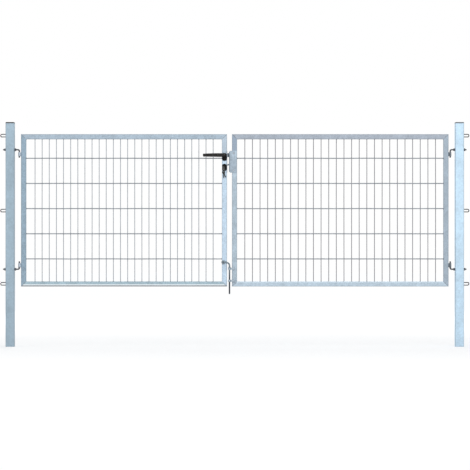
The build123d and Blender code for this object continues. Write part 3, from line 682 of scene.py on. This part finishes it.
def middle(node):
    low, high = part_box(node)
    return (Vector(low) + Vector(high)) / 2


# Welded wire mesh: round uprights between level wires, with a fused spot at each crossing

wireMesh = {
    "uprights": 26,
    "uprightRadius": 0.003,
    "levels": 5,
    "levelRadius": 0.004,
    "levelPitch": 0.2,
    "topToLevel": 0.191,
    "levelOffset": 0.0067,
    "tube": 0.040,
    "edgeToUpright": {"left_leaf": 0.110, "right_leaf": 0.102},
    "bow": 0.0005,  # how far a wire strays from straight
    "bowSteps": 27,
    "sides": 12,
    "uprightWeld": 0.0022,
    "levelWeld": 0.0026,
    "crossing": (0.0042, 0.0012, 0.0046),
}


def makeWireMesh(name, body, seed):
    w = wireMesh
    chance = random.Random(seed)
    node = body + "_mesh"
    low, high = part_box(body + "_top_rail")
    start, end, top = low[0], high[0], high[2]
    bottom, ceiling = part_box(node)[0][2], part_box(node)[1][2]
    left, right = start + w["tube"], end - w["tube"]
    margin = w["edgeToUpright"][body]
    pitch = (end - start - 2 * margin) / (w["uprights"] - 1)
    spots = [start + margin + k * pitch for k in range(w["uprights"])]
    heights = [top - w["topToLevel"] - k * w["levelPitch"] for k in range(w["levels"])]
    stations = sorted(set([bottom, ceiling] + heights + [(a + b) / 2 for a, b in zip(heights, heights[1:])]))
    bm = bmesh.new()
    for x in spots:
        lean, phase = chance.uniform(-1, 1), chance.uniform(0, 6)
        path = []
        for z in stations:
            t = (z - bottom) / (ceiling - bottom)
            stray = (lean + 0.5 * math.sin(5 * t + phase)) * math.sin(math.pi * t)
            path.append((x + w["bow"] * stray, 0, z))
        sweepSection(bm, path, roundSection(w["uprightRadius"], w["sides"]), firstSide=(1, 0, 0))
        for z, up in ((bottom, 1), (ceiling, -1)):
            size = w["uprightWeld"] * chance.uniform(0.8, 1.2)
            weldCollar(bm, (x, 0, z), (0, 0, up), w["uprightRadius"], size, chance, 12, 2)
    for z in heights:
        for front in (-1, 1):
            y = front * w["levelOffset"]
            phase = chance.uniform(0, 6)
            path = [(left, y, z)]
            for k in range(1, w["bowSteps"]):
                x = left + (right - left) * k / w["bowSteps"]
                path.append((x, y, z + w["bow"] * math.sin(0.7 * k + phase)))
            path.append((right, y, z))
            sweepSection(bm, path, roundSection(w["levelRadius"], w["sides"]), index=1, firstSide=(0, 0, 1))
            for x, way in ((left, 1), (right, -1)):
                size = w["levelWeld"] * chance.uniform(0.8, 1.2)
                weldCollar(bm, (x, y, z), (way, 0, 0), w["levelRadius"], size, chance, 12, 2)
            wide, deep, tall = w["crossing"]
            for x in spots:
                spot = Matrix.Translation((x, front * w["uprightRadius"], z))
                spread = (wide * chance.uniform(0.85, 1.1), deep, tall * chance.uniform(0.85, 1.1), 1)
                place = spot @ Matrix.Diagonal(spread)
                made = bmesh.ops.create_icosphere(bm, subdivisions=1, radius=1, matrix=place)
                for vert in made["verts"]:
                    for face in vert.link_faces:
                        face.material_index = 2
    wireFinishes = [nodeFinish[node], "levelWire", "weld"]
    newPiece(name, bm, wireFinishes, body, angle=40, replaced=(node,))


makeWireMesh("leftWireMesh", "left_leaf", 11)
makeWireMesh("rightWireMesh", "right_leaf", 12)
print("wire mesh made for both leaves")


# Welds where the frame tubes are mitred together

frameWelds = {
    "tube": 0.040,
    "corner": 0.004,
    "radius": 0.0021,
    "sink": 0.0011,  # how deep the run sits in the tube's face
    "outerShare": 0.8,  # the runs over the outer and inner corner, as shares of the radius
    "innerShare": 1.3,
}


def makeFrameWelds(name, body, seed):
    w = frameWelds
    chance = random.Random(seed)
    top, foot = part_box(body + "_top_rail"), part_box(body + "_bottom_rail")
    bm = bmesh.new()
    half = w["tube"] / 2
    c = w["corner"]
    face = half - w["sink"]
    for x, inX in ((top[0][0], 1), (top[1][0], -1)):
        for z, inZ in ((top[1][2], -1), (foot[0][2], 1)):
            def along(depth, y):
                return (x + inX * depth, y, z + inZ * depth)

            for y in (-face, face):
                weldRun(bm, along(c, y), along(w["tube"] - c, y), w["radius"], chance)
            for depth, share in ((w["sink"], w["outerShare"]), (w["tube"] - 0.0002, w["innerShare"])):
                weldRun(bm, along(depth, -half + c), along(depth, half - c), w["radius"] * share, chance)
    newPiece(name, bm, "weld", body, angle=50)


makeFrameWelds("leftFrameWelds", "left_leaf", 21)
makeFrameWelds("rightFrameWelds", "right_leaf", 22)
print("mitre welds laid")


# Fence loops: bent round bar welded to the post

fenceLoop = {
    "heights": (0.499, 1.081, 1.677),
    "radius": 0.0035,
    "legPitch": 0.021,
    "reach": 0.045,
    "bend": 0.010,
    "weld": 0.0034,
    "rootInPost": 0.001,
}


def makeFenceLoops(name, node, face, side, seed):
    w = fenceLoop
    chance = random.Random(seed)
    bm = bmesh.new()
    tip = face + side * (w["reach"] - w["radius"])
    for height in w["heights"]:
        low, high = height - w["legPitch"] / 2, height + w["legPitch"] / 2
        inside = face - side * w["rootInPost"]
        corners = [(inside, 0, low), (tip, 0, low), (tip, 0, high), (inside, 0, high)]
        path = bentPath(corners, [w["bend"]] * 2, 10)
        sweepSection(bm, path, roundSection(w["radius"], 20), firstSide=(0, 1, 0))
        for z in (low, high):
            weldCollar(bm, (face, 0, z), (side, 0, 0), w["radius"], w["weld"], chance, 24, 1)
    newPiece(name, bm, ["darkZincLoop", "weld"], "posts", angle=60, replaced=(node,))


leftPost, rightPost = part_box("left_post"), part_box("right_post")
makeFenceLoops("leftFenceLoops", "left_fence_eyes", leftPost[0][0], -1, 31)
makeFenceLoops("rightFenceLoops", "right_fence_eyes", rightPost[1][0], 1, 32)
print("fence loops bent and welded")


# Pintles: a threaded shank, bent into a smooth pin with a chamfered end

pintle = {
    "heights": (1.565, 0.615),
    "radius": 0.006,
    "root": 0.0051,
    "pitch": 0.00175,
    "overhang": 0.022,
    "bend": 0.012,
    "reach": 0.063,
    "pinFromPost": 0.037,
    "chamfer": 0.0015,
    "collarRadius": 0.009,
    "collarHeight": 0.004,
    "sides": 28,
    "threadEnd": 0.001,  # what the thread leaves free before the bend
    "lap": 0.0025,  # how far the bent pin reaches back into it
}


def threadedRun(bm, start, direction, length):
    w = pintle
    turnSteps = w["sides"]
    place = facing(start, direction)
    crest = w["radius"] - 0.0001
    shape = ((0.0, w["root"]), (0.3, crest), (0.55, crest), (0.85, w["root"]))  # share of the pitch, radius
    rows = int(length / w["pitch"]) + 1
    rings = []
    for row in range(-1, rows):
        for part, radius in shape:
            ring = []
            for k in range(turnSteps + 1):
                turn = 2 * math.pi * k / turnSteps
                height = (row + part + k / turnSteps) * w["pitch"]
                height = min(max(height, 0.0), length)
                edge = min(height, length - height)
                r = min(radius, w["root"] + edge * 0.9)
                ring.append(bm.verts.new(place @ roundSpot(r, turn, height)))
            rings.append(ring)
    for first, second in zip(rings, rings[1:]):
        for k in range(turnSteps):
            bm.faces.new((first[k], first[k + 1], second[k + 1], second[k]))
    bm.faces.new(rings[-1][:-1])
    bm.faces.new(rings[0][:-1][::-1])


def makePintle(name, node, height, side, turn, postBox):
    w = pintle
    bm = bmesh.new()
    outerFace, innerFace = [corner[0] for corner in postBox][::side]
    outer = outerFace - side * w["overhang"]
    pinX = innerFace + side * w["pinFromPost"]
    bendStart = pinX - side * w["bend"]
    threadedRun(bm, (outer, 0, height), (side, 0, 0), abs(bendStart - outer) - w["threadEnd"])
    pinEnd = height + turn * w["reach"]
    corners = [(bendStart - side * w["lap"], 0, height), (pinX, 0, height), (pinX, 0, pinEnd)]
    path = bentPath(corners, [w["bend"] - 0.0001], 14)
    path.insert(-1, Vector((pinX, 0, pinEnd - turn * w["chamfer"])))
    scales = [1.0] * len(path)
    scales[0] = 0.88
    scales[-1] = 1 - w["chamfer"] / w["radius"]
    sweepSection(bm, path, roundSection(w["radius"], w["sides"]), scales, firstSide=(0, 1, 0))
    if turn > 0:
        profile = collarProfile(w["radius"] - 0.0001, w["collarRadius"], w["collarHeight"], 0.0006)
        turned(bm, profile, Matrix.Translation((pinX, 0, height + w["bend"])), 32)
    newPiece(name, bm, "darkZincHardware", "posts", angle=35, replaced=(node,))


for hand, side, post in (("left", 1, leftPost), ("right", -1, rightPost)):
    for label, turn, height in zip(("Upper", "Lower"), (-1, 1), pintle["heights"]):
        makePintle(hand + label + "Pintle", hand + "_" + label.lower() + "_pintle", height, side, turn, post)
print("pintles threaded")


# Nuts and washers on the shanks

hingeNut = {
    "acrossFlats": 0.019,
    "bore": 0.00605,
    "height": 0.010,
    "washerRadius": 0.012,
    "washerHeight": 0.002,
    "chamferRadius": 0.0093,
    "sides": 48,
}


def hexNut(bm, origin, direction, spin):
    w = hingeNut
    height = w["height"]
    place = facing(origin, direction)
    steps = w["sides"]
    half = w["acrossFlats"] / 2
    rows = []
    for level in range(6):
        ring = []
        for k in range(steps):
            turn = 2 * math.pi * k / steps
            fold = (turn + math.pi / 6) % (math.pi / 3) - math.pi / 6
            corner = half / math.cos(fold)
            drop = max(0.0, (corner - w["chamferRadius"]) * 0.58) + 0.0002
            outline = ((w["bore"] + 0.0004, 0.0002), (min(corner, w["chamferRadius"]), 0.0), (corner, drop))
            radius, z = outline[min(level, 5 - level)]  # the upper half mirrors the lower one
            z = z if level < 3 else height - z
            ring.append(bm.verts.new(place @ roundSpot(radius, turn + spin, z)))
        rows.append(ring)
    inner = []
    for z in (0.0008, height - 0.0008):
        points = [roundSpot(w["bore"], 2 * math.pi * k / steps + spin, z) for k in range(steps)]
        inner.append([bm.verts.new(place @ point) for point in points])
    joinRings(bm, [inner[0]] + rows + [inner[1], inner[0]])


def makeHingeNuts(name, node, postBox, seed):
    w = hingeNut
    chance = random.Random(seed)
    bm = bmesh.new()
    r, h, b = w["washerRadius"], w["washerHeight"], w["bore"]
    profile = [(b, 0), (r, 0), (r, h - 0.0005), (r - 0.0005, h), (b + 0.0003, h), (b, h - 0.0003), (b, 0)]
    for height in pintle["heights"]:
        for face, out in ((postBox[0][0], -1), (postBox[1][0], 1)):
            turned(bm, profile, facing((face, 0, height), (out, 0, 0)), w["sides"])
            hexNut(bm, (face + out * h, 0, height), (out, 0, 0), chance.uniform(0, 1))
    newPiece(name, bm, "darkZincHardware", "posts", angle=25, replaced=(node,))


makeHingeNuts("leftHingeNuts", "left_hinge_nuts", leftPost, 41)
makeHingeNuts("rightHingeNuts", "right_hinge_nuts", rightPost, 42)
print("nuts and washers made")


# Hinge eyes on the leaves, their rims eased and their lugs welded to the stiles

leafEye = {"weld": 0.0022, "lugHalf": 0.006, "weldInset": 0.003}


def makeLeafEye(name, node, edge, body, seed):
    low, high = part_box(node)
    softened(name, node, body)
    chance = random.Random(seed)
    bm = bmesh.new()
    start, end = low[2] + leafEye["weldInset"], high[2] - leafEye["weldInset"]
    for y in (-leafEye["lugHalf"], leafEye["lugHalf"]):
        weldRun(bm, (edge, y, start), (edge, y, end), leafEye["weld"], chance)
    newPiece(name + "Welds", bm, "weld", body, angle=50)


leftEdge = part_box("left_leaf_hinge_stile")[0][0]
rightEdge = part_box("right_leaf_hinge_stile")[1][0]
for hand, edge, seed in (("left", leftEdge, 51), ("right", rightEdge, 53)):
    makeLeafEye(hand + "UpperEye", hand + "_leaf_upper_eye", edge, hand + "_leaf", seed)
    makeLeafEye(hand + "LowerEye", hand + "_leaf_lower_eye", edge, hand + "_leaf", seed + 1)
print("hinge eyes eased and welded")


# Roses: shallow cushions of coated metal, cut out for the lever's neck or the cylinder

rose = {
    "width": 0.038,
    "leverHeight": 0.062,
    "cylinderHeight": 0.056,
    "corner": 0.016,
    "thickness": 0.009,
    "edge": 0.0028,
    "leverDrop": 0.015,
    "neckHole": 0.0098,
    "cylinderRadius": 0.0087,
    "legWidth": 0.0104,
    "legDepth": 0.0247,
    "stileFace": 0.020,
}


def roundedOutline(width, height, corner):
    steps = 8
    points = []
    for cx, cy, start in ((1, 1, 0), (-1, 1, 90), (-1, -1, 180), (1, -1, 270)):
        for k in range(steps + 1):
            turn = math.radians(start + 90 * k / steps)
            points.append((cx * (width / 2 - corner) + corner * math.cos(turn),
                           cy * (height / 2 - corner) + corner * math.sin(turn)))
    return points


def cylinderOutline(radius, legWidth, legDepth):
    steps = 20
    half = legWidth / 2
    dip = math.asin(half / radius)
    points = []
    for k in range(steps + 1):
        turn = -math.pi / 2 + dip + (2 * math.pi - 2 * dip) * k / steps
        points.append((radius * math.cos(turn), radius * math.sin(turn)))
    low = -legDepth + half
    for k in range(9):
        turn = math.pi + math.pi * k / 8
        points.append((half * math.cos(turn), low + half * math.sin(turn)))
    return points


def makeRose(name, node, centre, height, hole, holeShift, outward):
    w = rose
    bm = bmesh.new()
    place = Matrix.Translation(centre) @ Matrix(((1, 0, 0, 0), (0, 0, outward, 0), (0, 1, 0, 0), (0, 0, 0, 1)))

    def ring(points, depth):
        return [bm.verts.new(place @ Vector((x, z, depth))) for x, z in points]

    rings = [ring(roundedOutline(w["width"], height, w["corner"]), 0.0)]
    for k in range(6):
        turn = math.pi / 2 * k / 5
        inset = w["edge"] * (1 - math.cos(turn))
        depth = w["thickness"] - w["edge"] + w["edge"] * math.sin(turn)
        rings.append(ring(roundedOutline(w["width"] - 2 * inset, height - 2 * inset, w["corner"] - inset), depth))
    joinRings(bm, rings)
    holePoints = [(x + holeShift[0], z + holeShift[1]) for x, z in hole]
    lip = ring(holePoints, w["thickness"])
    floor = ring(holePoints, 0.0)
    joinRings(bm, (lip, floor))
    for pair in ((rings[-1], lip), (rings[0], floor)):
        edges = []
        for loop in pair:
            for a, b in zip(loop, loop[1:] + loop[:1]):
                edges.append(bm.edges.get((a, b)) or bm.edges.new((a, b)))
        bmesh.ops.triangle_fill(bm, edges=edges, use_beauty=True)
    newPiece(name, bm, "blackPowderCoat", "left_leaf", angle=40, replaced=(node,))


cylinderMiddle = middle("lock_cylinder")
spindleSpot = middle("lever_spindle")
stileMiddle = middle("left_leaf_lock_stile")
cylinderBody = 0.0085  # radius of the cylinder's round part
cylinderSpot = Vector((cylinderMiddle.x, 0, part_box("lock_cylinder")[1][2] - cylinderBody))
neckHole = roundSection(rose["neckHole"], 40)
keyHole = cylinderOutline(rose["cylinderRadius"], rose["legWidth"], rose["legDepth"])
for front, label in ((-1, "front"), (1, "back")):
    face = front * rose["stileFace"]
    centre = Vector((stileMiddle.x, face, spindleSpot.z - rose["leverDrop"]))
    makeRose(label + "LeverRose", label + "_lever_rose", centre, rose["leverHeight"], neckHole,
             (spindleSpot.x - stileMiddle.x, rose["leverDrop"]), front)
    centre = Vector((stileMiddle.x, face, cylinderSpot.z))
    makeRose(label + "CylinderRose", label + "_cylinder_rose", centre, rose["cylinderHeight"], keyHole,
             (cylinderSpot.x - stileMiddle.x, 0), front)
print("roses made")


# Lever: a bearing ring at the neck and a grub screw under the hub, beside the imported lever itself

leverTrim = {
    "ringInner": 0.0088,
    "ringOuter": 0.0112,
    "ringHeight": 0.0022,
    "ringStart": 0.0292,
    "grubRadius": 0.0024,
    "grubFromMiddle": 0.0655,
    "grubUnderSpindle": 0.0129,
}


def makeLeverTrim(name, front):
    w = leverTrim
    bm = bmesh.new()
    place = facing((spindleSpot.x, front * w["ringStart"], spindleSpot.z), (0, front, 0))
    inner, outer, h = w["ringInner"], w["ringOuter"], w["ringHeight"]
    profile = [(inner, 0), (outer - 0.0003, 0), (outer, 0.0003), (outer, h - 0.0008)]
    profile += [(outer - 0.0008, h), (inner, h + 0.0002)]
    turned(bm, profile, place, 48)
    g = w["grubRadius"]
    under = facing((spindleSpot.x, front * w["grubFromMiddle"], spindleSpot.z - w["grubUnderSpindle"]), (0, 0, -1))
    turned(bm, [(g, -0.001), (g, 0.0002), (g - 0.0004, 0.0003), (g * 0.55, 0.0003)], under, 24)
    socket = [(g * 0.55, 0.0003), (g * 0.5, -0.0008), (0.0001, -0.0009)]
    turned(bm, socket, under, 6, 1)
    newPiece(name, bm, ["brushedSteel", "darkZincHardware"], "lever", angle=30)


makeLeverTrim("frontLeverTrim", -1)
makeLeverTrim("backLeverTrim", 1)
softened("lockFaceplate", "lock_faceplate", "left_leaf")
softened("latchBolt", "latch_bolt", "latch")
softened("hookBolt", "hook_bolt", "hook")
print("lever trim, faceplate and bolts finished")


# Screws, drawn with the recess in their heads

keepScrew = {"radius": 0.0058, "height": 0.0034, "recess": 0.0024, "domed": True, "fromEdge": 0.023, "inset": 0.020}
faceScrew = {"radius": 0.0034, "height": 0.0004, "recess": 0.0016, "domed": False, "sunk": 0.0001}
faceScrewInset = {"bottom": 0.0095, "top": 0.0085, "underCylinder": 0.0165}
recessDepth = 0.0016


def screwHead(bm, centre, direction, look, spin):
    place = facing(centre, direction) @ Matrix.Rotation(spin, 4, "Z")
    radius, height, recess = look["radius"], look["height"], look["recess"]
    lip = recess * 1.15
    profile = [(radius, 0.0)]
    if look["domed"]:
        for k in range(7):
            turn = math.pi / 2 * k / 6
            profile.append((lip + (radius - lip) * math.cos(turn), height * (0.35 + 0.65 * math.sin(turn))))
    else:
        profile += [(radius, height * 0.6), (radius - height * 0.4, height), (lip, height)]
    turned(bm, profile, place, 28)
    foot = height - recessDepth
    socket = [(lip, height), (recess, height - 0.0001), (recess, foot), (0.0001, foot - recessDepth * 0.25)]
    turned(bm, socket, place, 6)


def makeKeep():
    softened("keepPlate", "keep_plate", "right_leaf")
    low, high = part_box("keep_plate")
    x = high[0] - keepScrew["fromEdge"]
    bm = bmesh.new()
    for z, spin in ((low[2] + keepScrew["inset"], 0.4), (high[2] - keepScrew["inset"], 1.1)):
        screwHead(bm, (x, low[1], z), (0, -1, 0), keepScrew, spin)
    newPiece("keepScrews", bm, "brushedSteel", "right_leaf", angle=30)


def makeFaceScrews():
    inset = faceScrewInset
    low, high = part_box("lock_faceplate")
    heights = (low[2] + inset["bottom"], high[2] - inset["top"], cylinderSpot.z - inset["underCylinder"])
    bm = bmesh.new()
    for z, spin in zip(heights, (0.2, 0.9, 0.5)):
        screwHead(bm, (high[0] - faceScrew["sunk"], 0, z), (1, 0, 0), faceScrew, spin)
    newPiece("faceplateScrews", bm, "darkZincHardware", "left_leaf", angle=30)


makeKeep()
makeFaceScrews()
print("keep, faceplate and their screws finished")


# Cylinder face: the plug that turns, set in its body by a fine groove

plug = {"radius": 0.0062, "groove": 0.0004, "proud": 0.0003}


def makePlugs():
    w = plug
    bm = bmesh.new()
    low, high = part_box("lock_cylinder")
    for y, way in ((low[1], -1), (high[1], 1)):
        place = facing((cylinderSpot.x, y, cylinderSpot.z), (0, way, 0))
        r, g, p = w["radius"], w["groove"], w["proud"]
        lip = [(r + g, -0.0004), (r + g, 0.00005), (r + g + 0.0006, 0.0001), (r + g + 0.0007, -0.0003)]
        turned(bm, lip, place, 48)
        rim = [(r, -0.0004), (r, p - 0.0001), (r - 0.0002, p), (r - 0.0016, p), (r - 0.0018, p - 0.0004)]
        turned(bm, rim, place, 48)
    newPiece("cylinderPlugs", bm, "nickelPlate", "left_leaf", angle=30)


makePlugs()
softened("lockCylinder", "lock_cylinder", "left_leaf")
softened("keyInLock", "key", "left_leaf")
softened("spareKeys", "spare_keys", "left_leaf")


# Split ring: flat wire wound twice round

splitRing = {"radius": 0.016, "width": 0.0008, "depth": 0.0014, "turns": 2, "steps": 96}


def makeSplitRing():
    w = splitRing
    centre = middle("key_ring")
    turn = Vector((1, -1, 0)).normalized()
    level = Vector((1, 1, 0)).normalized()
    path = []
    count = w["steps"] * w["turns"]
    for k in range(count + 1):
        t = k / count
        angle = 2 * math.pi * w["turns"] * t + 0.4
        crossing = min(max((t - 0.42) / 0.16, 0), 1)
        shift = (crossing * crossing * (3 - 2 * crossing) - 0.5) * w["width"] * 1.12
        out = level * math.cos(angle) + Vector((0, 0, math.sin(angle)))
        path.append(centre + out * w["radius"] + turn * shift)
    a, b = w["width"] / 2, w["depth"] / 2
    c = w["width"] * 0.2
    half = [(a, b - c), (a - c, b), (-a + c, b), (-a, b - c)]
    section = half + [(-across, -up) for across, up in half]
    bm = bmesh.new()
    sweepSection(bm, path, section, firstSide=turn)
    newPiece("splitRing", bm, "boltSteel", "left_leaf", angle=30, replaced=("key_ring",))


makeSplitRing()
print("cylinder, keys and ring finished")


# Drop bolt guides with their welds, and the bolt as one smooth bent rod

dropBolt = {
    "radius": 0.006,
    "forward": -0.031,
    "bottom": 0.418,
    "bendHeight": 0.662,
    "handleLength": 0.056,
    "handleRise": 0.018,
    "fold": 0.015,
    "foldReturn": 0.020,
    "bends": (0.026, 0.0074, 0.0074),
    "collarRadius": 0.009,
    "collarBottom": 0.6273,
    "collarHeight": 0.006,
    "tip": 0.003,
    "handleEnd": 0.0008,
    "guideRadius": 0.011,
    "guideHeight": 0.016,
    "lugWeld": 0.0025,
    "lugWeldInset": 0.0015,
    "guideWeld": 0.0022,
    "guideWeldEnds": (0.004, 0.001),
}


def makeDropBolt():
    w = dropBolt
    guideLow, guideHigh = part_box("drop_bolt_guides")
    x, y = guideLow[0] + w["guideRadius"], w["forward"]
    slope = math.atan2(w["handleRise"], w["handleLength"])
    alongX, alongZ = -math.cos(slope), math.sin(slope)
    handle = (x - w["handleLength"], w["bendHeight"] + w["handleRise"])
    fold = (handle[0] - w["fold"] * math.sin(slope), handle[1] - w["fold"] * math.cos(slope))
    back = (fold[0] - w["foldReturn"] * alongX, fold[1] - w["foldReturn"] * alongZ)
    line = [(x, w["bottom"]), (x, w["bendHeight"]), handle, fold, back]
    path = bentPath([(across, y, height) for across, height in line], w["bends"], 12)
    r, t = w["radius"], w["tip"]
    path[1:1] = [Vector((x, y, w["bottom"] + d)) for d in (t * 0.35, t)]
    endWay = (path[-1] - path[-2]).normalized()
    path.insert(-1, path[-1] - endWay * w["handleEnd"])
    scales = [(r - t) / r, 0.78] + [1.0] * (len(path) - 3) + [0.88]  # the tip tapers, the handle's end is eased
    bm = bmesh.new()
    sweepSection(bm, path, roundSection(r, 28), scales, firstSide=(0, 1, 0))
    profile = collarProfile(r - 0.0001, w["collarRadius"], w["collarHeight"], 0.0008)
    turned(bm, profile, Matrix.Translation((x, y, w["collarBottom"])), 32)
    newPiece("dropBolt", bm, "dropBoltSteel", "drop_rod", angle=40, replaced=("drop_bolt",))
    softened("dropBoltGuides", "drop_bolt_guides", "right_leaf")
    chance = random.Random(61)
    bm = bmesh.new()
    stileX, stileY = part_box("right_leaf_meeting_stile")[0][:2]
    lugEnd, tall, inset = guideHigh[0], w["guideHeight"], w["lugWeldInset"]
    start, end = stileX + w["guideWeldEnds"][0], lugEnd - w["guideWeldEnds"][1]
    for base in (guideLow[2], guideHigh[2] - tall):
        weldRun(bm, (lugEnd, stileY, base + inset), (lugEnd, stileY, base + tall - inset), w["lugWeld"], chance)
        for z in (base, base + tall):
            weldRun(bm, (start, stileY, z), (end, stileY, z), w["guideWeld"], chance)
    newPiece("dropBoltGuideWelds", bm, "guide", "right_leaf", angle=50)


makeDropBolt()
print("drop bolt and guides finished")


# Post caps with eased rims
softened("leftCap", "left_post_cap", "posts")
softened("rightCap", "right_post_cap", "posts")
print("post caps finished")
